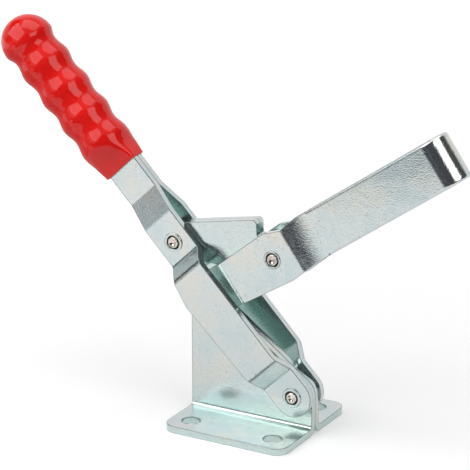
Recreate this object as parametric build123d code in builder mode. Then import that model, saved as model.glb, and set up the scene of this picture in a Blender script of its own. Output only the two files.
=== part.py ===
from build123d import *
from math import acos, atan, atan2, cos, degrees, hypot, radians, sin
import os

# Vertical toggle clamp with a flanged base, a two-strip handle, a link and a U-shaped bar.
# Millimetres, +Z up. The origin is the centre of the four base holes, on the underside.
# +X points along the bar, and the handle leans back towards -X. Every pivot lies along Y.

# Sheet thicknesses
base_sheet = 3.2
strip_sheet = 3.0
link_sheet = 3.2
bar_sheet = 3.0

# Base
base_front = 30.8
base_rear = 30.2
flange_reach = 30.3
flange_corner = 6.0
base_bend = 1.6
hole_spacing = 41.3
hole_diameter = 8.5
handle_pivot_x = 22.5
handle_pivot_z = 17.8
bar_pivot_x = -21.0
bar_pivot_z = 57.0
base_edge_slope = 35.8

# Linkage, pivot to pivot, and the lean of the handle in the pose that is modelled
handle_arm = 86.4
link_length = 51.4
bar_arm = 42.8
handle_lean = 43.9

# Clearances
side_gap = 0.3
pin_gap = 0.05
sleeve_gap = 0.04

# Handle strips: half gaps between the two inner faces, and stations along the handle. The
# lower step is measured up from the lower pivot, and the rest from the upper pivot.
mid_half_gap = 9.9
lower_step_start = 10.6
lower_step_end = 18.4
upper_step_start = -15.0
upper_step_end = -9.0
spread_start = 11.6
spread_end = 25.0
rear_taper_start = -26.4
rear_taper_end = -13.4
strip_front_edge = 9.0
strip_top_front_edge = 8.4
strip_low_rear_edge = 9.4
strip_bulge = 11.4
strip_top_rear_edge = 8.6
strip_lug_radius = 9.2
strip_bend = 4.0

# Bar: half gaps between the legs, and stations along it from the link pivot
slot_half_gap = 4.2
nose_half_gap = 5.5
shoulder_half_gap = 6.2
ear_step_start = -33.5
ear_step_end = -24.5
shoulder_end = 10.8
arm_start = 20.5
arm_edge_start = 26.0
nose_start = 92.7
bar_bend = 3.5
arm_bend = 40.0
arm_top = 11.1
arm_bottom = 10.5
bar_lug_radius = 10.0
shoulder_top = 12.0
shoulder_top_x = 2.4
shoulder_notch = 9.4
shoulder_bottom = 12.2
shoulder_bottom_x = 4.0
arm_edge_round = 1.4

# Link: lugs, the tab on its upper edge, and the slot that lets the open pivot drift
link_upper_radius = 8.0
link_lower_radius = 9.0
link_tab_back = 10.8
link_tab_height = 15.1
link_tab_foot = 7.0
link_tab_corner = 2.0
link_slot_travel = 8.5
link_slot_side = 1.6

# Pivot rivets, the sleeves round them, and the washers beside the link. Ring and pin heights
# are above the outer face that the sleeve holds.
pin_radius = 3.0
sleeve_wall = 0.9
ring_radius = 4.6
nose_ring_radius = 4.1
ring_height = 0.6
nose_ring_height = 0.3
ring_mouth = 3.6
pin_dome = 0.95
nose_pin_dome = 0.45
pin_shoulder = 0.6
nose_pin_shoulder = 0.3
pin_crown = 2.0
washer_radius = 8.0

# Grip: its mouth is measured from the upper pivot, and the strips inside it from the mouth
grip_rise = 40.6
grip_length = 83.6
grip_mouth_length = 14.3
grip_mouth_width = 19.6
grip_mouth_depth = 10.0
grip_mouth_corner = 2.2
grip_mouth_shift = 0.4
grip_shift = 1.2
grip_waves = 4
grip_crest = 12.0
grip_valley = 10.7
grip_neck = 5.8
grip_throat = 2.8
grip_bulb = 12.4
grip_fit = 0.1
tang_taper = 2.0
tang_start = 7.0
tang_half = 6.5
tang_end_wall = 14.6
strip_rivet_radius = 2.5
strip_rivet_inset = 16.0

# Lengths that follow from those above
pivot_half_gap = base_sheet + side_gap
sleeve_bore = pin_radius + pin_gap
sleeve_radius = sleeve_bore + sleeve_wall
sleeve_hole = sleeve_radius + sleeve_gap
grip_start = handle_arm + grip_rise
grip_end = grip_start + grip_length
strip_length = grip_end - tang_end_wall
cut_reach = flange_reach + base_sheet
lower_x = handle_pivot_x
lower_z = handle_pivot_z

# Pivot centres as (x, z). The link pivot on the bar closes the four-bar chain.
lean = radians(handle_lean)
upper_x = lower_x - handle_arm * sin(lean)
upper_z = lower_z + handle_arm * cos(lean)


def far_pivot(x1, z1, r1, x2, z2, r2):
    """The crossing of two circles that lies to the right, looking from the first centre up."""
    dx = x2 - x1
    dz = z2 - z1
    span = hypot(dx, dz)
    along = (r1 * r1 - r2 * r2 + span * span) / (2 * span)
    across = (r1 * r1 - along * along) ** 0.5
    return (
        x1 + (along * dx + across * dz) / span,
        z1 + (along * dz - across * dx) / span,
    )


link_x, link_z = far_pivot(bar_pivot_x, bar_pivot_z, bar_arm, upper_x, upper_z, link_length)
bar_angle = atan2(link_z - bar_pivot_z, link_x - bar_pivot_x)
link_angle = atan2(link_z - upper_z, link_x - upper_x)

# Work planes. On each "side" plane, x runs along the piece and z points to the near side, -Y.
NEAR = Vector(0, -1, 0)
handle_dir = Vector(-sin(lean), 0, cos(lean))
bar_dir = Vector(cos(bar_angle), 0, sin(bar_angle))
bar_up = Vector(-sin(bar_angle), 0, cos(bar_angle))
link_dir = Vector(cos(link_angle), 0, sin(link_angle))
handle_origin = (lower_x, 0, lower_z)
handle_side = Plane(origin=handle_origin, x_dir=handle_dir, z_dir=NEAR)
handle_edge = Plane(origin=handle_origin, x_dir=handle_dir, z_dir=handle_dir.cross(Vector(0, 1, 0)))
bar_side = Plane(origin=(link_x, 0, link_z), x_dir=bar_dir, z_dir=NEAR)
bar_edge = Plane(origin=(link_x, 0, link_z), x_dir=bar_dir, z_dir=bar_up)
link_side = Plane(origin=(upper_x, 0, upper_z), x_dir=link_dir, z_dir=NEAR)
base_side = Plane(origin=(0, 0, 0), x_dir=(1, 0, 0), z_dir=NEAR)

os.makedirs("parts", exist_ok=True)


def save(builder, name):
    """Label a finished piece and write it under its own name."""
    builder.part.label = name
    export_step(builder.part, "parts/" + name + ".step")


def pivot_plane(x, z, y=0.0):
    """A plane across the pivot at (x, z), facing +Y."""
    return Plane(origin=(x, y, z), x_dir=(1, 0, 0), z_dir=(0, 1, 0))


def drill(x, z, radius):
    """Cut a hole right through the current part along Y."""
    with BuildSketch(pivot_plane(x, z)) as hole:
        Circle(radius)
    extrude(hole.sketch, amount=cut_reach, both=True, mode=Mode.SUBTRACT)


def tangent_point(x1, z1, r1, x2, z2, r2, upper=True):
    """Touch points of the outer tangent to two circles, on the side above the centre line."""
    side = 1 if upper else -1
    dx = x2 - x1
    dz = z2 - z1
    span = hypot(dx, dz)
    turn = atan2(dz, dx) + side * acos((r1 - r2) / span)
    return (
        (x1 + r1 * cos(turn), z1 + r1 * sin(turn)),
        (x2 + r2 * cos(turn), z2 + r2 * sin(turn)),
    )


# Base plates: two bent sheets back to back, each with a flange and an upright


def base_plate(name, side):
    """One bent sheet of the base. The side is -1 for the near plate and 1 for the far one."""
    outer_bend = base_bend + base_sheet
    lug = base_front - lower_x
    ear = base_rear + bar_pivot_x
    blank_top = bar_pivot_z + ear + base_sheet
    slope = radians(base_edge_slope)
    across = Vector(sin(slope), cos(slope))
    lower = Vector(lower_x, lower_z)
    upper = Vector(bar_pivot_x, bar_pivot_z)
    lug_touch = lower + across * lug
    edge_top = upper + across * (across.dot(lug_touch) - across.dot(upper))
    with BuildPart() as plate:
        with BuildSketch(Plane.YZ.offset(-base_rear)):
            with BuildLine():
                Polyline(
                    (0, base_sheet + base_bend),
                    (0, blank_top),
                    (side * base_sheet, blank_top),
                    (side * base_sheet, base_sheet + base_bend),
                )
                RadiusArc(
                    (side * base_sheet, base_sheet + base_bend),
                    (side * (base_sheet + base_bend), base_sheet),
                    -side * base_bend,
                )
                Polyline(
                    (side * (base_sheet + base_bend), base_sheet),
                    (side * flange_reach, base_sheet),
                    (side * flange_reach, 0),
                    (side * outer_bend, 0),
                )
                RadiusArc((side * outer_bend, 0), (0, outer_bend), side * outer_bend)
            make_face()
        extrude(amount=base_front + base_rear)
        with BuildSketch(base_side):
            with BuildLine():
                RadiusArc(lug_touch, (base_front, lower_z), lug)
                Polyline(
                    (base_front, lower_z),
                    (base_front, 0),
                    (-base_rear, 0),
                    (-base_rear, bar_pivot_z),
                    upper,
                    edge_top,
                    lug_touch,
                )
            make_face()
            with Locations(upper):
                Circle(ear)
        extrude(amount=cut_reach, both=True, mode=Mode.INTERSECT)
        corners = plate.edges().filter_by(Axis.Z).group_by(Axis.Y)[0 if side < 0 else -1]
        fillet(corners, flange_corner)
        with BuildSketch(Plane.XY):
            with GridLocations(hole_spacing, 2 * hole_spacing, 2, 1):
                with Locations((0, side * hole_spacing / 2)):
                    Circle(hole_diameter / 2)
        extrude(amount=base_sheet, mode=Mode.SUBTRACT)
        drill(lower_x, lower_z, sleeve_hole)
        drill(bar_pivot_x, bar_pivot_z, sleeve_hole)
    save(plate, name)


base_plate("base_plate_near", -1)
base_plate("base_plate_far", 1)


# Handle strips: one bent strip on each side, from the lower pivot up into the grip

rivet_low = grip_start + tang_start + strip_rivet_inset
rivet_high = strip_length - strip_rivet_inset


def handle_strip(name, side):
    """One strip of the handle, bent out round the bar and in again to meet its twin."""
    mid = strip_sheet / 2
    with BuildPart() as strip:
        with BuildLine(handle_edge) as path:
            FilletPolyline(
                (-strip_lug_radius - strip_sheet, side * (pivot_half_gap + mid)),
                (lower_step_start, side * (pivot_half_gap + mid)),
                (lower_step_end, side * (mid_half_gap + mid)),
                (handle_arm + upper_step_start, side * (mid_half_gap + mid)),
                (handle_arm + upper_step_end, side * (pivot_half_gap + mid)),
                (handle_arm + spread_start, side * (pivot_half_gap + mid)),
                (handle_arm + spread_end, side * mid),
                (strip_length, side * mid),
                radius=strip_bend,
            )
        with BuildSketch(Plane(origin=path.line @ 0, x_dir=(0, 1, 0), z_dir=path.line % 0)):
            Rectangle(strip_sheet, 2 * cut_reach)
        sweep()
        with BuildSketch(handle_side):
            with BuildLine():
                Polyline(
                    (0, -strip_lug_radius),
                    (lower_step_start, -strip_front_edge),
                    (handle_arm + spread_start, -strip_front_edge),
                    (handle_arm + spread_end, -strip_top_front_edge),
                    (grip_start + tang_taper, -strip_top_front_edge),
                    (grip_start + tang_start, -tang_half),
                    (strip_length, -tang_half),
                    (strip_length, tang_half),
                    (grip_start + tang_start, tang_half),
                    (grip_start + tang_taper, strip_top_rear_edge),
                    (handle_arm + rear_taper_end, strip_top_rear_edge),
                    (handle_arm + rear_taper_start, strip_bulge),
                    (lower_step_end, strip_low_rear_edge),
                    (0, strip_lug_radius),
                )
                RadiusArc((0, strip_lug_radius), (0, -strip_lug_radius), -strip_lug_radius)
            make_face()
        extrude(amount=cut_reach, both=True, mode=Mode.INTERSECT)
        drill(lower_x, lower_z, sleeve_hole)
        drill(upper_x, upper_z, sleeve_hole)
        with BuildSketch(handle_side) as rivet_holes:
            with Locations((rivet_low, 0), (rivet_high, 0)):
                Circle(strip_rivet_radius + sleeve_gap)
        extrude(rivet_holes.sketch, amount=cut_reach, both=True, mode=Mode.SUBTRACT)
    save(strip, name)


handle_strip("handle_strip_near", -1)
handle_strip("handle_strip_far", 1)


# Clamp bar: one strip folded into a U, with shoulders round the link and ears on the base

ear_x = -bar_arm
ear_half_gap = pivot_half_gap
arm_width = slot_half_gap + bar_sheet / 2
nose_width = nose_half_gap + bar_sheet / 2
arm_spread = (nose_width - arm_width) / (nose_start - arm_start)
edge_width = arm_width + arm_spread * (arm_edge_start - arm_start)
nose_spread = degrees(atan(arm_spread))


def leg_line(side):
    """The bent line of one leg, from behind the ear to where the rounded arm starts."""
    mid = bar_sheet / 2
    return FilletPolyline(
        (ear_x - bar_lug_radius - bar_sheet, side * (ear_half_gap + mid)),
        (ear_step_start, side * (ear_half_gap + mid)),
        (ear_step_end, side * (shoulder_half_gap + mid)),
        (shoulder_end, side * (shoulder_half_gap + mid)),
        (arm_start, side * arm_width),
        (arm_edge_start, side * edge_width),
        radius=[bar_bend, bar_bend, bar_bend, arm_bend],
    )


with BuildPart() as clamp_bar:
    for side in (-1, 1):
        with BuildLine(bar_edge):
            leg = leg_line(side)
        with BuildSketch(Plane(origin=leg @ 0, x_dir=(0, 1, 0), z_dir=leg % 0)):
            Rectangle(bar_sheet, 2 * cut_reach)
        sweep()
    with BuildSketch(bar_side):
        with BuildLine():
            Polyline(
                (ear_x, bar_lug_radius),
                (ear_step_end, bar_lug_radius),
                (shoulder_top_x, shoulder_top),
                (shoulder_end, shoulder_notch),
                (arm_start, arm_top),
                (arm_edge_start, arm_top),
                (arm_edge_start, -arm_bottom),
                (arm_start, -arm_bottom),
                (shoulder_bottom_x, -shoulder_bottom),
                (ear_step_start, -bar_lug_radius),
                (ear_x, -bar_lug_radius),
            )
            RadiusArc((ear_x, -bar_lug_radius), (ear_x, bar_lug_radius), bar_lug_radius)
        make_face()
    extrude(amount=cut_reach, both=True, mode=Mode.INTERSECT)
    with BuildLine(bar_edge):
        near_arm = Line((arm_edge_start, -edge_width), (nose_start, -nose_width))
        nose_radius = nose_width / cos(radians(nose_spread))
        JernArc(near_arm @ 1, near_arm % 1, nose_radius, 180 + 2 * nose_spread)
        Line((nose_start, nose_width), (arm_edge_start, edge_width))
    with BuildSketch(Plane(origin=near_arm @ 0, x_dir=(0, 1, 0), z_dir=near_arm % 0)) as arm_section:
        with Locations((0, (arm_top - arm_bottom) / 2)):
            Rectangle(bar_sheet, arm_top + arm_bottom)
        fillet(arm_section.vertices().group_by(Axis.X)[0], arm_edge_round)
    sweep()
    drill(link_x, link_z, sleeve_hole)
    drill(bar_pivot_x, bar_pivot_z, sleeve_hole)
save(clamp_bar, "clamp_bar")

# Link plates: two flat plates side by side, with a slot at the open pivot


def link_plate(name, side):
    """One plate of the link. The side is -1 for the near plate and 1 for the far one."""
    tab_x = link_length - link_tab_back
    slot_radius = sleeve_radius + link_slot_side
    top_touch, tab = tangent_point(0, 0, link_upper_radius, tab_x, link_tab_height, 0)
    low_1, low_2 = tangent_point(0, 0, link_upper_radius, link_length, 0, link_lower_radius, False)
    with BuildPart() as plate:
        with BuildSketch(link_side):
            with BuildLine():
                FilletPolyline(
                    top_touch,
                    tab,
                    (tab_x, link_tab_foot),
                    (link_length, link_tab_foot),
                    radius=link_tab_corner,
                )
                Line((link_length, link_tab_foot), (link_length, 0))
                Line((link_length, 0), low_2)
                Line(low_2, low_1)
                RadiusArc(low_1, top_touch, link_upper_radius)
            make_face()
            with Locations((link_length, 0)):
                Circle(link_lower_radius)
            with Locations((link_length - link_slot_travel / 2, 0)):
                SlotCenterToCenter(link_slot_travel, 2 * slot_radius, mode=Mode.SUBTRACT)
            Circle(sleeve_hole, mode=Mode.SUBTRACT)
        extrude(amount=-side * link_sheet)
    save(plate, name)


link_plate("link_plate_near", -1)
link_plate("link_plate_far", 1)


# Sleeves: hollow rivets with a ring pressed out at each end


def sleeve(name, x, z, reach, ring, height):
    """A hollow rivet across the pivot at (x, z). The reach is to the outer face it holds."""
    top = reach + height
    mouth_depth = ring_mouth - sleeve_bore
    half = [
        (sleeve_radius, reach),
        (ring, reach),
        (ring, top),
        (ring_mouth, top),
        (sleeve_bore, top - mouth_depth),
    ]
    lower_half = [(px, -py) for px, py in reversed(half)]
    with BuildPart() as tube:
        with BuildSketch(Plane(origin=(x, 0, z), x_dir=(1, 0, 0), z_dir=(0, 0, 1))):
            with BuildLine():
                Polyline(*half, *lower_half, close=True)
            make_face()
        revolve(axis=Axis((x, 0, z), (0, 1, 0)))
    save(tube, name)


sleeve("handle_bushing", lower_x, lower_z, pivot_half_gap + strip_sheet, ring_radius, ring_height)
sleeve("link_bushing", upper_x, upper_z, pivot_half_gap + strip_sheet, ring_radius, ring_height)
sleeve("bar_bushing", bar_pivot_x, bar_pivot_z, pivot_half_gap + bar_sheet, ring_radius, ring_height)
sleeve("nose_bushing", link_x, link_z, shoulder_half_gap + bar_sheet, nose_ring_radius, nose_ring_height)


# Pins: solid rivets through the sleeves, with domed ends


def pin(name, x, z, reach, side_height, dome):
    """A solid rivet across the pivot at (x, z), with a crown at each end."""
    shoulder = reach + side_height
    with BuildPart() as rivet:
        with BuildSketch(Plane(origin=(x, 0, z), x_dir=(1, 0, 0), z_dir=(0, 0, 1))):
            with BuildLine():
                Polyline(
                    (0, reach + dome),
                    (pin_crown, reach + dome),
                    (pin_radius, shoulder),
                    (pin_radius, -shoulder),
                    (pin_crown, -reach - dome),
                    (0, -reach - dome),
                    close=True,
                )
            make_face()
        revolve(axis=Axis((x, 0, z), (0, 1, 0)))
    save(rivet, name)


pin("handle_pin", lower_x, lower_z, pivot_half_gap + strip_sheet, pin_shoulder, pin_dome)
pin("link_pin", upper_x, upper_z, pivot_half_gap + strip_sheet, pin_shoulder, pin_dome)
pin("bar_pin", bar_pivot_x, bar_pivot_z, pivot_half_gap + bar_sheet, pin_shoulder, pin_dome)
pin("nose_pin", link_x, link_z, shoulder_half_gap + bar_sheet, nose_pin_shoulder, nose_pin_dome)


# Washers between the link and the legs of the bar


def washer(name, side):
    """One washer that sits against the inside of a leg."""
    with BuildPart() as ring:
        with BuildSketch(pivot_plane(link_x, link_z, side * (link_sheet + side_gap))):
            Circle(washer_radius)
            Circle(sleeve_hole, mode=Mode.SUBTRACT)
        extrude(amount=side * (shoulder_half_gap - link_sheet - side_gap))
    save(ring, name)


washer("washer_near", -1)
washer("washer_far", 1)


# Rivets that join the two strips inside the grip


def strip_rivet(name, station):
    """A flush rivet through both strips, the given distance up from the lower pivot."""
    with BuildPart() as rivet:
        with BuildSketch(handle_side):
            with Locations((station, 0)):
                Circle(strip_rivet_radius)
        extrude(amount=strip_sheet, both=True)
    save(rivet, name)


strip_rivet("strip_rivet_low", rivet_low)
strip_rivet("strip_rivet_high", rivet_high)


# Grip: a flattened mouth that blends into a round, rippled body with a ball end


def across_handle(station):
    """A plane square to the handle, with its y axis towards the rear edge of the strips."""
    origin = Vector(*handle_origin) + handle_dir * station
    return Plane(origin=origin, x_dir=(0, 1, 0), z_dir=handle_dir)


bulb_start = grip_end - grip_bulb
body_start = grip_start + grip_mouth_length
grip_pitch = (bulb_start - grip_neck - body_start) / (grip_waves - 0.5)
throat = bulb_start - grip_throat
throat_radius = (grip_bulb**2 - grip_throat**2) ** 0.5

with BuildPart() as grip:
    with BuildSketch(handle_side) as grip_profile:
        with BuildLine():
            crest = grip_shift + grip_crest
            valley = grip_shift + grip_valley
            middle = (crest + valley) / 2
            quarter = grip_pitch / 4
            TangentArc((body_start, crest), (body_start + quarter, middle), tangent=(1, 0))
            for wave in range(grip_waves - 1):
                low = body_start + (2 + 4 * wave) * quarter
                high = low + 2 * quarter
                ThreePointArc((low - quarter, middle), (low, valley), (low + quarter, middle))
                ThreePointArc((high - quarter, middle), (high, crest), (high + quarter, middle))
            last = bulb_start - grip_neck
            TangentArc((last, valley), (last - quarter, middle), tangent=(-1, 0))
            TangentArc((last, valley), (throat, grip_shift + throat_radius), tangent=(1, 0))
            RadiusArc((throat, grip_shift + throat_radius), (grip_end, grip_shift), grip_bulb)
            Line((grip_end, grip_shift), (body_start, grip_shift))
            Line((body_start, grip_shift), (body_start, crest))
        make_face()
    grip_line = handle_side.from_local_coords((0, grip_shift, 0))
    revolve(axis=Axis(grip_line, handle_dir))
    with BuildSketch(across_handle(grip_start)):
        with Locations((0, grip_mouth_shift)):
            RectangleRounded(grip_mouth_depth, grip_mouth_width, grip_mouth_corner)
    with BuildSketch(across_handle(body_start)):
        with Locations((0, grip_shift)):
            Circle(grip_crest)
    loft()
    with BuildSketch(across_handle(grip_start)):
        with Locations((0, (strip_top_rear_edge - strip_top_front_edge) / 2)):
            mouth_width = strip_top_rear_edge + strip_top_front_edge + 2 * grip_fit
            Rectangle(2 * (strip_sheet + grip_fit), mouth_width)
    extrude(amount=tang_start, mode=Mode.SUBTRACT)
    with BuildSketch(across_handle(grip_start + tang_start)):
        Rectangle(2 * (strip_sheet + grip_fit), 2 * (tang_half + grip_fit))
    extrude(amount=strip_length + grip_fit - grip_start - tang_start, mode=Mode.SUBTRACT)
save(grip, "grip")
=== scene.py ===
import math

import bpy
from mathutils import Matrix, Vector


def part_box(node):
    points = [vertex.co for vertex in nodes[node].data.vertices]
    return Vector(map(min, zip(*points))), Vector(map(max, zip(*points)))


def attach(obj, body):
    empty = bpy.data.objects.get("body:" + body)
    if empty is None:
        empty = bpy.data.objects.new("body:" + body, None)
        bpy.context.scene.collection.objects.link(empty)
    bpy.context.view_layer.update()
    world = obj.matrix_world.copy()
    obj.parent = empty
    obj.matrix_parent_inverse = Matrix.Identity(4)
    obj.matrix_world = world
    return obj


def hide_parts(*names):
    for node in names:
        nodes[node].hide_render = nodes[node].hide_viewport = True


# Looks for the toggle clamp: bright zinc-plated steel, brownish rivet ends and a red dipped grip.

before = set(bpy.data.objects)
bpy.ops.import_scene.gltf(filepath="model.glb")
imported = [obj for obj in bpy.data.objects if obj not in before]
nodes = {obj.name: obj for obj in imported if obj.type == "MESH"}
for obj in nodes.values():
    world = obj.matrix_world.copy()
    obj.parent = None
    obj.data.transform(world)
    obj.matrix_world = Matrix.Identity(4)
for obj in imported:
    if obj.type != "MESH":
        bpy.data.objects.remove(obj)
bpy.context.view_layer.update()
scene = bpy.context.scene
scene.view_settings.view_transform = "Standard"

MM = 0.001

# The camera, fitted to the photograph: angles in degrees, the rest in metres and pixels
CAMERA_AZIMUTH = 29.60
CAMERA_ELEVATION = 19.55
CAMERA_ROLL = 0.107
CAMERA_DISTANCE = 1.293
CAMERA_TARGET = Vector((-0.009777, 0.0, 0.086272))
CAMERA_NEAR = 0.05
CAMERA_FAR = 50.0
FOCAL_PIXELS = 2943.8
IMAGE_PIXELS = 470
SENSOR_MM = 36.0

# The handle, from part.py: its lower pivot and its lean
PIVOT = Vector((22.5, 0.0, 17.8)) * MM
LEAN = math.radians(43.9)
ALONG = Vector((-math.sin(LEAN), 0.0, math.cos(LEAN)))
REAR = Vector((-math.cos(LEAN), 0.0, -math.sin(LEAN)))
SIDE = Vector((0.0, 1.0, 0.0))

# The grip, from part.py, in millimetres. Stations are measured up the handle from the lower pivot.
GRIP_START = 127.0
GRIP_END = 210.6
GRIP_BULB = 12.4
GRIP_CREST = 12.0
GRIP_VALLEY = 10.7
GRIP_PITCH = 14.6
GRIP_SHIFT = 1.2
GRIP_LAST_VALLEY = 192.4
GRIP_BODY_START = 141.3
MOUTH_WIDTH = 19.6
MOUTH_DEPTH = 10.0
MOUTH_SHIFT = 0.4
SLOT_WIDTH = 17.2
SLOT_DEPTH = 6.2
SLOT_SHIFT = 0.1

# How square the grip's rings are: 2 is an ellipse, and large values are near a rectangle
ROUND = 2.0
MOUTH_SQUARE = 9.0
SLOT_SQUARE = 14.0

# The pocket in the grip, its lip as (rise, width of wall), and where the outside starts, in
# millimetres above the mouth
POCKET_HEIGHTS = (12.0, 0.6)
LIP = ((0.15, 0.12), (0.0, 0.45), (0.0, 1.0), (0.18, 1.32), (0.55, 1.45))
LIP_WALL = 1.45
OUTSIDE_START = 1.3

# The grip's mesh: points round it, and the steps along it, which shrink towards the end
GRIP_ROUND_STEPS = 128
GRIP_STEP = 0.7
GRIP_SMALLEST_STEP = 0.02
GRIP_STEP_SHARE = 0.35

# The rivets, from part.py, in millimetres: name, body, reach of the sheets that they hold, ring
# radius, ring height and how far the pin stands out
PIVOTS = (
    ("handle", "handle", 6.5, 4.6, 0.6, 0.75),
    ("link", "handle", 6.5, 4.5, 0.6, 0.75),
    ("bar", "bar", 6.5, 4.6, 0.6, 0.75),
    ("nose", "bar", 9.2, 4.1, 0.3, 0.40),
)
LATHE_STEPS = 72

# The sleeve: radii of its bore, tube and mouth, its rounded edges, how deep its funnel and the top
# of its bore lie below its end, and how deep the top of its tube lies below its ring
SLEEVE_BORE = 3.05
SLEEVE_WALL = 0.9
SLEEVE_TUBE = SLEEVE_BORE + SLEEVE_WALL
SLEEVE_MOUTH = 3.2
SLEEVE_OUTER_ROLL = 0.28
SLEEVE_INNER_ROLL = 0.25
SLEEVE_ROLL_STEPS = 5
SLEEVE_FUNNEL_DEPTH = 0.9
SLEEVE_BORE_DEPTH = 2.2
SLEEVE_TUBE_DEPTH = 1.0

# The pin: radii of its end and shaft, its rounded rim, the dish in its end as (radius, depth),
# and the depths at which its end meets its shaft
PIN_END = 2.5
PIN_SHAFT = 3.0
PIN_RIM = 0.42
PIN_RIM_STEPS = 7
PIN_DISH = ((0.3, 0.65), (0.6, 0.58), (0.9, 0.46), (1.2, 0.30), (1.5, 0.11))
PIN_END_DEPTH = 1.6
PIN_SHAFT_DEPTH = 2.0

# Zinc plate: its clouds as (position, colour), its other colours, and lengths in metres
ZINC_CLOUDS = ((0.36, (0.515, 0.590, 0.602)), (0.52, (0.575, 0.615, 0.608)), (0.68, (0.622, 0.615, 0.566)))
# Painted bounce light: a lighter green laid on where the sheets hide each other
ZINC_PAINTED_BOUNCE_LIGHT = (0.545, 0.685, 0.655)
ZINC_GRAIN = (0.36, 0.41, 0.42)
ZINC_SPECKS = (0.30, 0.30, 0.28)
# Painted shade: the dark lines along the sheet edges
ZINC_PAINTED_EDGE_SHADE = (0.09, 0.10, 0.11)
ZINC_METALLIC = 0.93
ZINC_PAINTED_BOUNCE_REACH = 22.0 * MM
ZINC_EDGE_LINE = 0.8 * MM
ZINC_EDGE_ROUNDING = 0.5 * MM
ZINC_WAVE_HEIGHT = 0.10 * MM
ZINC_GRAIN_HEIGHT = 0.055 * MM

# Rivet steel, and the CAD nodes that have it
RIVET_CLOUDS = ((0.35, (0.48, 0.40, 0.35)), (0.50, (0.68, 0.62, 0.57)), (0.70, (0.80, 0.76, 0.72)))
RIVET_DENT_HEIGHT = 0.06 * MM
RIVET_NODES = ("handle_pin", "link_pin", "bar_pin", "nose_pin", "strip_rivet_low", "strip_rivet_high")

# Red plastic: its clouds, how much it mirrors, and heights of bumps in metres
RED_CLOUDS = ((0.35, (0.67, 0.009, 0.007)), (0.65, (0.77, 0.013, 0.010)))
RED_SPECULAR = 0.33
RED_WAVE_HEIGHT = 0.10 * MM
RED_SKIN_HEIGHT = 0.012 * MM

# The floor and the world: sizes in metres, and strengths where 1 is white
WORLD_FILL = 0.12
FLOOR_SIZE = 6.0
FLOOR_TONES = (0.76, 0.78)
FLOOR_ROUGHNESS = 0.9
FLOOR_SPECULAR = 0.1
FLOOR_GLOW_REACH = (0.1, 1.1)
# The low glow near the clamp is a painted shade in the metal's reflections
FLOOR_GLOW_AND_PAINTED_SHADE = (0.28, 0.82)

# All cards glow, and only reflections see them: they are painted reflections, the light and dark patches
# that the metal mirrors.
# Curved cards: name, turns as (start, end, step), rises as (start, end) and shade. The turns are
# degrees from the front towards +X, and the rises are degrees above the floor.
CARD_RADIUS = 2.2
CARD_RISE_STEP = 9.0
NAVY = (0.030, 0.036, 0.055)
MID_GREY = (0.50, 0.52, 0.54)
SIDE_GREY = (0.60, 0.66, 0.66)
RING_CARDS = (
    ("card_zenith", (-180.0, 180.0, 12.0), (52.0, 90.0), (0.42, 0.44, 0.45)),
    ("card_top", (-118.0, 140.0, 12.0), (27.0, 52.0), (0.05, 0.052, 0.06)),
    ("card_front", (-16.0, 130.0, 12.0), (-1.0, 27.0), NAVY),
    ("card_front_low", (-40.0, -16.0, 12.0), (-1.0, 9.0), NAVY),
    ("card_front_light", (-44.0, -16.0, 12.0), (9.0, 27.0), (0.85, 0.87, 0.88)),
    ("card_left", (-56.0, -40.0, 8.0), (-1.0, 8.0), MID_GREY),
    ("card_left_dark", (-80.0, -56.0, 9.0), (-1.0, 8.0), (0.09, 0.10, 0.11)),
    ("card_left_high", (-74.0, -44.0, 9.0), (8.0, 27.0), (0.08, 0.09, 0.10)),
    ("card_side", (-118.0, -80.0, 9.0), (-1.0, 8.0), SIDE_GREY),
    ("card_side_high", (-118.0, -74.0, 9.0), (8.0, 27.0), SIDE_GREY),
)

# Flat cards just over the floor: name, corners as (x, y) in metres, and shade
FLOOR_CARD_HEIGHT = 0.001
FLOOR_CARDS = (
    (
        "card_floor",
        ((-0.28, -0.41), (-0.38, -0.70), (-0.60, -1.20), (-0.85, -2.0), (2.2, -2.0), (2.2, -0.41)),
        NAVY,
    ),
    ("card_near", ((-0.20, -0.41), (-0.088, -0.41), (-0.088, -0.32), (-0.20, -0.32)), (0.52, 0.59, 0.58)),
    ("card_left_floor", ((-0.66, -0.45), (-1.95, -1.30), (-1.42, -1.82), (-0.49, -0.63)), MID_GREY),
    ("card_grip", ((-0.62, -0.30), (-0.62, -0.44), (-0.27, -0.44), (-0.27, -0.315)), (0.76, 0.76, 0.75)),
    (
        "card_under_grip",
        ((-0.17, -0.12), (-0.17, 0.15), (-0.55, 0.15), (-0.50, -0.29), (-0.30, -0.25)),
        (0.50, 0.50, 0.50),
    ),
)

# Lamps: name, direction from the clamp, width and height in metres, and radiance
LAMP_DISTANCE = 1.1
LAMPS = (
    ("box_right", (0.737, -0.33, 0.59), 0.68, 0.72, 2.8),
    ("box_left", (-0.530, -0.530, 0.662), 1.30, 0.86, 2.5),
    ("box_top", (-0.017, 0.080, 0.994), 1.05, 0.82, 2.0),
)


# Node helpers


def new_material(name):
    """An empty node material, its tree and its Principled shader."""
    material = bpy.data.materials.new(name)
    material.use_nodes = True
    return material, material.node_tree, material.node_tree.nodes["Principled BSDF"]


def noise(tree, scale, detail, roughness=0.5, offset=(0.0, 0.0, 0.0)):
    """Noise in object space, which is the same scale on every piece."""
    coords = tree.nodes.new("ShaderNodeTexCoord")
    mapping = tree.nodes.new("ShaderNodeMapping")
    mapping.inputs["Location"].default_value = offset
    texture = tree.nodes.new("ShaderNodeTexNoise")
    texture.inputs["Scale"].default_value = scale
    texture.inputs["Detail"].default_value = detail
    texture.inputs["Roughness"].default_value = roughness
    tree.links.new(coords.outputs["Object"], mapping.inputs["Vector"])
    tree.links.new(mapping.outputs["Vector"], texture.inputs["Vector"])
    return texture.outputs["Fac"]


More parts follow.
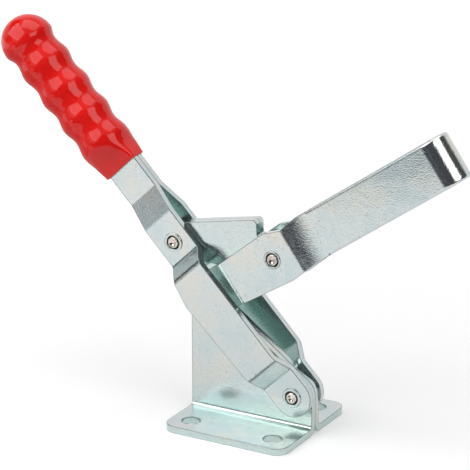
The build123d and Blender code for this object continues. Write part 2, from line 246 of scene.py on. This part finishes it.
def ramp(tree, value, stops):
    """A colour ramp from (position, colour) stops."""
    node = tree.nodes.new("ShaderNodeValToRGB")
    while len(node.color_ramp.elements) < len(stops):
        node.color_ramp.elements.new(0.5)
    for element, (position, colour) in zip(node.color_ramp.elements, stops):
        element.position = position
        element.color = (*colour, 1.0)
    tree.links.new(value, node.inputs["Fac"])
    return node.outputs["Color"]


def mix(tree, factor, under, over):
    """Lays a colour over the one in a socket, by the factor in another socket."""
    node = tree.nodes.new("ShaderNodeMix")
    node.data_type = "RGBA"
    tree.links.new(factor, node.inputs[0])
    tree.links.new(under, node.inputs[6])
    node.inputs[7].default_value = (*over, 1.0)
    return node.outputs[2]


def remap(tree, value, low, high, start=0.3, end=0.7):
    """Maps a value from start..end to low..high, and holds it there."""
    node = tree.nodes.new("ShaderNodeMapRange")
    node.inputs["From Min"].default_value = start
    node.inputs["From Max"].default_value = end
    node.inputs["To Min"].default_value = low
    node.inputs["To Max"].default_value = high
    tree.links.new(value, node.inputs["Value"])
    return node.outputs["Result"]


def arithmetic(tree, operation, first, second):
    """A Math node on two sockets."""
    node = tree.nodes.new("ShaderNodeMath")
    node.operation = operation
    tree.links.new(first, node.inputs[0])
    tree.links.new(second, node.inputs[1])
    return node.outputs["Value"]


def bump(tree, height, distance, normal=None):
    """A bump from a height value, on top of another normal if one is given."""
    node = tree.nodes.new("ShaderNodeBump")
    node.inputs["Strength"].default_value = 1.0
    node.inputs["Distance"].default_value = distance
    tree.links.new(height, node.inputs["Height"])
    if normal is not None:
        tree.links.new(normal, node.inputs["Normal"])
    return node.outputs["Normal"]


def bevel(tree, radius):
    """A normal that is rounded over the sharp edges."""
    node = tree.nodes.new("ShaderNodeBevel")
    node.samples = 8
    node.inputs["Radius"].default_value = radius
    return node.outputs["Normal"]


def edge_mask(tree, radius, strength):
    """Up to strength along sharp edges and 0 on the flats, by how far a rounded normal leans."""
    geometry = tree.nodes.new("ShaderNodeNewGeometry")
    dot = tree.nodes.new("ShaderNodeVectorMath")
    dot.operation = "DOT_PRODUCT"
    tree.links.new(bevel(tree, radius), dot.inputs[0])
    tree.links.new(geometry.outputs["True Normal"], dot.inputs[1])
    return remap(tree, dot.outputs["Value"], strength, 0.0, start=0.80, end=0.985)


def painted_bounce_mask(tree, distance):
    """0 in the open and 1 deep between the sheets, by occlusion: it places the painted bounce light."""
    node = tree.nodes.new("ShaderNodeAmbientOcclusion")
    node.samples = 8
    node.inputs["Distance"].default_value = distance
    return remap(tree, node.outputs["AO"], 1.0, 0.0, start=0.30, end=0.92)


# Materials


def zinc_steel():
    """Bright zinc plate: pale blue-grey with faint warm and cool clouds, a painted bounce light that turns
    it a lighter green between the sheets, fine specks, a fine grain and painted shade in thin dark lines
    along the sheet edges."""
    material, tree, shader = new_material("zinc_steel")
    grain = noise(tree, scale=1700.0, detail=2.0, roughness=0.6, offset=(1.0, 8.0, 4.0))
    specks = noise(tree, scale=620.0, detail=2.0, roughness=0.6, offset=(3.0, 1.0, 2.0))
    colour = ramp(tree, noise(tree, scale=60.0, detail=3.0, roughness=0.6), ZINC_CLOUDS)
    # Painted bounce light: lighter and greener deep between the sheets
    colour = mix(tree, painted_bounce_mask(tree, ZINC_PAINTED_BOUNCE_REACH), colour, ZINC_PAINTED_BOUNCE_LIGHT)
    colour = mix(tree, remap(tree, grain, 0.0, 0.32, start=0.48, end=0.68), colour, ZINC_GRAIN)
    colour = mix(tree, remap(tree, specks, 0.0, 0.55, start=0.63, end=0.74), colour, ZINC_SPECKS)
    # Painted shade: thin dark lines along the sheet edges
    colour = mix(tree, edge_mask(tree, ZINC_EDGE_LINE, strength=0.90), colour, ZINC_PAINTED_EDGE_SHADE)
    tree.links.new(colour, shader.inputs["Base Color"])
    shader.inputs["Metallic"].default_value = ZINC_METALLIC
    patches = noise(tree, scale=140.0, detail=4.0, roughness=0.6, offset=(7.0, 5.0, 1.0))
    tree.links.new(remap(tree, patches, 0.055, 0.11), shader.inputs["Roughness"])
    waves = noise(tree, scale=75.0, detail=2.0, offset=(9.0, 2.0, 6.0))
    wavy = bump(tree, waves, ZINC_WAVE_HEIGHT, bevel(tree, ZINC_EDGE_ROUNDING))
    tree.links.new(bump(tree, grain, ZINC_GRAIN_HEIGHT, wavy), shader.inputs["Normal"])
    return material


def rivet_steel():
    """Plain steel of the rivet ends, beige with brown clouds."""
    material, tree, shader = new_material("rivet_steel")
    clouds = noise(tree, scale=420.0, detail=3.0, roughness=0.6)
    tree.links.new(ramp(tree, clouds, RIVET_CLOUDS), shader.inputs["Base Color"])
    shader.inputs["Metallic"].default_value = 1.0
    patches = noise(tree, scale=700.0, detail=2.0, offset=(2.0, 2.0, 9.0))
    tree.links.new(remap(tree, patches, 0.14, 0.26), shader.inputs["Roughness"])
    dents = noise(tree, scale=700.0, detail=1.0, roughness=0.4, offset=(5.0, 1.0, 6.0))
    tree.links.new(bump(tree, dents, RIVET_DENT_HEIGHT), shader.inputs["Normal"])
    return material


def red_grip():
    """Glossy dipped plastic in red, with a slight cloud in the colour and a soft skin."""
    material, tree, shader = new_material("red_grip")
    clouds = noise(tree, scale=70.0, detail=2.0)
    tree.links.new(ramp(tree, clouds, RED_CLOUDS), shader.inputs["Base Color"])
    patches = noise(tree, scale=260.0, detail=3.0, offset=(4.0, 4.0, 4.0))
    tree.links.new(remap(tree, patches, 0.05, 0.09), shader.inputs["Roughness"])
    shader.inputs["Specular IOR Level"].default_value = RED_SPECULAR
    waves = noise(tree, scale=160.0, detail=1.0, roughness=0.4, offset=(3.0, 3.0, 8.0))
    skin = noise(tree, scale=650.0, detail=2.0, offset=(1.0, 6.0, 2.0))
    soft = bump(tree, waves, RED_WAVE_HEIGHT)
    tree.links.new(bump(tree, skin, RED_SKIN_HEIGHT, soft), shader.inputs["Normal"])
    return material


ZINC = zinc_steel()
RIVET = rivet_steel()
RED = red_grip()

for node_name, node in nodes.items():
    if node_name in RIVET_NODES:
        chosen = RIVET
    elif node_name == "grip":
        chosen = RED
    else:
        chosen = ZINC
    for material_slot in node.material_slots:
        material_slot.material = chosen


# Mesh helpers


def mesh_object(name, points, faces, material):
    """A new object in the scene, from points and faces."""
    mesh = bpy.data.meshes.new(name)
    mesh.from_pydata(points, [], faces)
    mesh.validate()
    mesh.update()
    mesh.materials.append(material)
    piece = bpy.data.objects.new(name, mesh)
    scene.collection.objects.link(piece)
    return piece


def add_piece(name, points, faces, material, body, node_name):
    """A smooth-shaded piece that rides on a body and replaces a CAD node."""
    piece = mesh_object(name, points, faces, material)
    for polygon in piece.data.polygons:
        polygon.use_smooth = True
    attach(piece, body)
    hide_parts(node_name)


def loft_rings(rings, closed_ends=False):
    """Points and faces of a skin over rings that all have the same count of points."""
    count = len(rings[0])
    points = [point for ring in rings for point in ring]
    faces = []
    for index in range(len(rings) - 1):
        low = index * count
        high = low + count
        for step in range(count):
            after = (step + 1) % count
            faces.append((low + step, low + after, high + after, high + step))
    if closed_ends:
        faces.append(tuple(reversed(range(count))))
        faces.append(tuple(range(len(points) - count, len(points))))
    return points, faces


def between(first, second, share):
    """A value on the way from the first to the second."""
    return first + (second - first) * share


def smooth_step(value):
    """Eases from 0 to 1."""
    value = min(1.0, max(0.0, value))
    return value * value * (3.0 - 2.0 * value)


# Grip: a flattened mouth that blends into a rippled round body with a ball end


def grip_radius(station):
    """Radius of the round part of the grip at a station."""
    bulb_centre = GRIP_END - GRIP_BULB
    ball = math.sqrt(max(0.0, GRIP_BULB**2 - (station - bulb_centre) ** 2))
    if station > bulb_centre:
        return ball
    if station > GRIP_LAST_VALLEY:
        share = smooth_step((station - GRIP_LAST_VALLEY) / (bulb_centre - GRIP_LAST_VALLEY))
        return between(GRIP_VALLEY, ball, share)
    ripple = 0.5 - 0.5 * math.cos(2.0 * math.pi * (station - GRIP_LAST_VALLEY) / GRIP_PITCH)
    return between(GRIP_VALLEY, GRIP_CREST, ripple)


def ring_at(station, width, depth, square, shift):
    """A ring across the handle, width by depth, shifted to the rear."""
    ring = []
    for step in range(GRIP_ROUND_STEPS):
        angle = 2.0 * math.pi * step / GRIP_ROUND_STEPS
        across = math.cos(angle)
        out = math.sin(angle)
        rear = math.copysign(abs(across) ** (2.0 / square), across) * width / 2 + shift
        side = math.copysign(abs(out) ** (2.0 / square), out) * depth / 2
        ring.append(PIVOT + (ALONG * station + REAR * rear - SIDE * side) * MM)
    return ring


def make_grip():
    """The whole grip, from the floor of the pocket out over the lip and up to the ball end."""
    rings = []
    for height in POCKET_HEIGHTS:
        rings.append(ring_at(GRIP_START + height, SLOT_WIDTH, SLOT_DEPTH, SLOT_SQUARE, SLOT_SHIFT))
    for rise, wall in LIP:
        share = wall / LIP_WALL
        width = between(SLOT_WIDTH, MOUTH_WIDTH, share)
        depth = between(SLOT_DEPTH, MOUTH_DEPTH, share)
        square = between(SLOT_SQUARE, MOUTH_SQUARE, share)
        shift = between(SLOT_SHIFT, MOUTH_SHIFT, share)
        rings.append(ring_at(GRIP_START + rise, width, depth, square, shift))
    station = GRIP_START + OUTSIDE_START
    while station < GRIP_END - GRIP_SMALLEST_STEP:
        share = smooth_step((station - GRIP_START) / (GRIP_BODY_START - GRIP_START))
        diameter = 2.0 * grip_radius(station)
        width = between(MOUTH_WIDTH, diameter, share)
        depth = between(MOUTH_DEPTH, diameter, share)
        square = between(MOUTH_SQUARE, ROUND, share**0.5)
        shift = between(MOUTH_SHIFT, GRIP_SHIFT, share)
        rings.append(ring_at(station, width, depth, square, shift))
        left = GRIP_END - station
        station += min(GRIP_STEP, max(GRIP_SMALLEST_STEP, left * GRIP_STEP_SHARE))
    points, faces = loft_rings(rings, closed_ends=True)
    add_piece("grip_skin", points, faces, RED, "handle", "grip")


make_grip()


# Rivets: a hollow sleeve with a rolled ring at each end, and a pin with dished ends inside it


def lathe(node_name, profile, reach):
    """Rings of points round a CAD node's own axis, from a profile of (radius, depth below the
    reach) in millimetres. The profile is given for one end, and the other end mirrors it."""
    low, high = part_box(node_name)
    centre = Vector(((low[0] + high[0]) / 2, 0.0, (low[2] + high[2]) / 2))
    whole = [(radius, reach - depth) for radius, depth in profile]
    whole += [(radius, depth - reach) for radius, depth in reversed(profile)]
    rings = []
    for radius, height in whole:
        ring = []
        for step in range(LATHE_STEPS):
            angle = 2.0 * math.pi * step / LATHE_STEPS
            across = Vector((math.cos(angle), 0.0, math.sin(angle))) * radius * MM
            ring.append(centre + across + SIDE * height * MM)
        rings.append(ring)
    return rings


def rounded_edge(radius, size, start, end, steps):
    """Points of a rounded edge whose centre is at a radius, and as deep as the rounding is large.
    The angles are in degrees: 90 points out of the rivet's end, and 0 away from its axis."""
    points = []
    for step in range(steps + 1):
        angle = math.radians(between(start, end, step / steps))
        points.append((radius + size * math.cos(angle), size - size * math.sin(angle)))
    return points


def make_sleeve(node_name, body, reach, ring_radius, ring_height):
    """A hollow rivet that replaces its plain solid, with a rolled ring at each end."""
    inner = SLEEVE_INNER_ROLL
    outer = min(SLEEVE_OUTER_ROLL, ring_height)
    profile = [(SLEEVE_BORE, SLEEVE_BORE_DEPTH), (SLEEVE_BORE, SLEEVE_FUNNEL_DEPTH)]
    profile += rounded_edge(SLEEVE_MOUTH + inner, inner, 180.0, 90.0, SLEEVE_ROLL_STEPS)
    profile += rounded_edge(ring_radius - outer, outer, 90.0, 0.0, SLEEVE_ROLL_STEPS)
    profile += [(ring_radius, ring_height), (SLEEVE_TUBE, ring_height)]
    profile += [(SLEEVE_TUBE, ring_height + SLEEVE_TUBE_DEPTH)]
    rings = lathe(node_name, profile, reach + ring_height)
    points, faces = loft_rings(rings + [rings[0]])
    add_piece(node_name + "_ring", points, faces, ZINC, body, node_name)


def make_pin(node_name, body, reach, dome):
    """A solid rivet that replaces its plain solid, with a rounded rim and a shallow dish."""
    profile = list(PIN_DISH)
    profile += rounded_edge(PIN_END - PIN_RIM, PIN_RIM, 100.0, 0.0, PIN_RIM_STEPS)
    profile += [(PIN_END, PIN_END_DEPTH), (PIN_SHAFT, PIN_SHAFT_DEPTH)]
    points, faces = loft_rings(lathe(node_name, profile, reach + dome), closed_ends=True)
    add_piece(node_name + "_end", points, faces, RIVET, body, node_name)


for pivot_name, pivot_body, reach, ring_radius, ring_height, dome in PIVOTS:
    make_sleeve(pivot_name + "_bushing", pivot_body, reach, ring_radius, ring_height)
    make_pin(pivot_name + "_pin", pivot_body, reach, dome)


# Studio: a pale floor, three soft lamps, and cards that only reflections see


def light_path_factor(tree):
    """1 for camera, glossy and transmission rays, and 0 for the rest."""
    path = tree.nodes.new("ShaderNodeLightPath")
    seen = arithmetic(tree, "MAXIMUM", path.outputs["Is Camera Ray"], path.outputs["Is Glossy Ray"])
    return arithmetic(tree, "MAXIMUM", seen, path.outputs["Is Transmission Ray"])


def make_world():
    """White where it is seen or reflected, and a soft fill elsewhere."""
    world = bpy.data.worlds.new("studio")
    scene.world = world
    world.use_nodes = True
    tree = world.node_tree
    background = tree.nodes["Background"]
    background.inputs["Color"].default_value = (1.0, 1.0, 1.0, 1.0)
    strength = remap(tree, light_path_factor(tree), WORLD_FILL, 1.0, start=0.0, end=1.0)
    tree.links.new(strength, background.inputs["Strength"])


def stage_mesh(name, points, faces, material):
    """A stage piece that isn't part of the clamp."""
    piece = mesh_object(name, points, faces, material)
    return piece


def floor_material():
    """Pale floor that reads as white and keeps the shadow. Its glow grows with distance from the clamp:
    far off it keeps the floor white where the lamps light it less, and near the clamp its weaker glow is a
    painted shade that the metal reflects.
    """
    material, tree, shader = new_material("floor")
    tones = [(stop, (tone, tone, tone)) for stop, tone in zip((0.3, 0.7), FLOOR_TONES)]
    tree.links.new(ramp(tree, noise(tree, scale=3.0, detail=2.0), tones), shader.inputs["Base Color"])
    shader.inputs["Roughness"].default_value = FLOOR_ROUGHNESS
    shader.inputs["Specular IOR Level"].default_value = FLOOR_SPECULAR
    coords = tree.nodes.new("ShaderNodeTexCoord")
    reach = tree.nodes.new("ShaderNodeVectorMath")
    reach.operation = "LENGTH"
    tree.links.new(coords.outputs["Object"], reach.inputs[0])
    start, end = FLOOR_GLOW_REACH
    glow = remap(tree, reach.outputs["Value"], *FLOOR_GLOW_AND_PAINTED_SHADE, start=start, end=end)
    emission = tree.nodes.new("ShaderNodeEmission")
    strength = arithmetic(tree, "MULTIPLY", light_path_factor(tree), glow)
    tree.links.new(strength, emission.inputs["Strength"])
    together = tree.nodes.new("ShaderNodeAddShader")
    tree.links.new(shader.outputs[0], together.inputs[0])
    tree.links.new(emission.outputs[0], together.inputs[1])
    tree.links.new(together.outputs[0], tree.nodes["Material Output"].inputs["Surface"])
    return material


def make_floor():
    """A wide square floor."""
    low, high = -FLOOR_SIZE, FLOOR_SIZE
    corners = [(low, low, 0.0), (high, low, 0.0), (high, high, 0.0), (low, high, 0.0)]
    stage_mesh("floor", corners, [(0, 1, 2, 3)], floor_material())


def painted_reflection_material(shade):
    """A glowing shade that looks the same however it is lit: a painted reflection."""
    material, tree, shader = new_material("card")
    tree.nodes.remove(shader)
    emission = tree.nodes.new("ShaderNodeEmission")
    emission.inputs["Color"].default_value = (*shade, 1.0)
    tree.links.new(emission.outputs[0], tree.nodes["Material Output"].inputs["Surface"])
    return material


def add_card(name, points, faces, shade):
    """A glowing stage piece that only reflections see: a painted reflection that gives no light to other
    surfaces and no shadow.
    """
    card = stage_mesh(name, points, faces, painted_reflection_material(shade))
    card.visible_camera = False
    card.visible_diffuse = False
    card.visible_shadow = False
    card.visible_transmission = False


def evenly(start, end, step):
    """Angles from start to end, both included, about a step apart, in radians."""
    count = max(1, round((end - start) / step))
    return [math.radians(between(start, end, index / count)) for index in range(count + 1)]


def ring_card(name, turn_range, rise_range, shade):
    """A part of a sphere round the clamp."""
    turns = evenly(*turn_range)
    rises = evenly(*rise_range, CARD_RISE_STEP)
    points = []
    for rise in rises:
        flat = CARD_RADIUS * math.cos(rise)
        height = CARD_RADIUS * math.sin(rise)
        points += [(flat * math.sin(turn), -flat * math.cos(turn), height) for turn in turns]
    columns = len(turns)
    faces = []
    for row in range(len(rises) - 1):
        for column in range(columns - 1):
            low = row * columns + column
            faces.append((low, low + 1, low + 1 + columns, low + columns))
    add_card(name, points, faces, shade)


def floor_card(name, corners, shade):
    """A flat card just over the floor."""
    points = [(x, y, FLOOR_CARD_HEIGHT) for x, y in corners]
    add_card(name, points, [tuple(range(len(corners)))], shade)


def soft_box(name, direction, width, height, radiance):
    """A rectangular lamp that faces the clamp."""
    lamp = bpy.data.lights.new(name, "AREA")
    lamp.shape = "RECTANGLE"
    lamp.size = width
    lamp.size_y = height
    lamp.energy = radiance * math.pi * width * height
    box = bpy.data.objects.new(name, lamp)
    towards = Vector(direction).normalized()
    box.location = CAMERA_TARGET + towards * LAMP_DISTANCE
    box.rotation_mode = "QUATERNION"
    box.rotation_quaternion = towards.to_track_quat("Z", "Y")
    scene.collection.objects.link(box)


make_world()
make_floor()
for ring_row in RING_CARDS:
    ring_card(*ring_row)
for floor_row in FLOOR_CARDS:
    floor_card(*floor_row)
for lamp_row in LAMPS:
    soft_box(*lamp_row)


# Camera


def make_camera():
    """The photograph's camera, from the fitted angles."""
    azimuth = math.radians(CAMERA_AZIMUTH)
    elevation = math.radians(CAMERA_ELEVATION)
    roll = math.radians(CAMERA_ROLL)
    right = Vector((math.cos(azimuth), math.sin(azimuth), 0.0))
    lean_x = -math.sin(azimuth) * math.sin(elevation)
    lean_y = math.cos(azimuth) * math.sin(elevation)
    up = Vector((lean_x, lean_y, math.cos(elevation)))
    back = right.cross(up)
    turned_right = right * math.cos(roll) - up * math.sin(roll)
    turned_up = right * math.sin(roll) + up * math.cos(roll)
    data = bpy.data.cameras.new("camera")
    data.sensor_fit = "HORIZONTAL"
    data.sensor_width = SENSOR_MM
    data.lens = FOCAL_PIXELS * SENSOR_MM / IMAGE_PIXELS
    data.clip_start = CAMERA_NEAR
    data.clip_end = CAMERA_FAR
    camera = bpy.data.objects.new("camera", data)
    axes = Matrix((turned_right, turned_up, back)).transposed()
    camera.matrix_world = Matrix.Translation(CAMERA_TARGET + back * CAMERA_DISTANCE) @ axes.to_4x4()
    scene.collection.objects.link(camera)
    scene.camera = camera


make_camera()
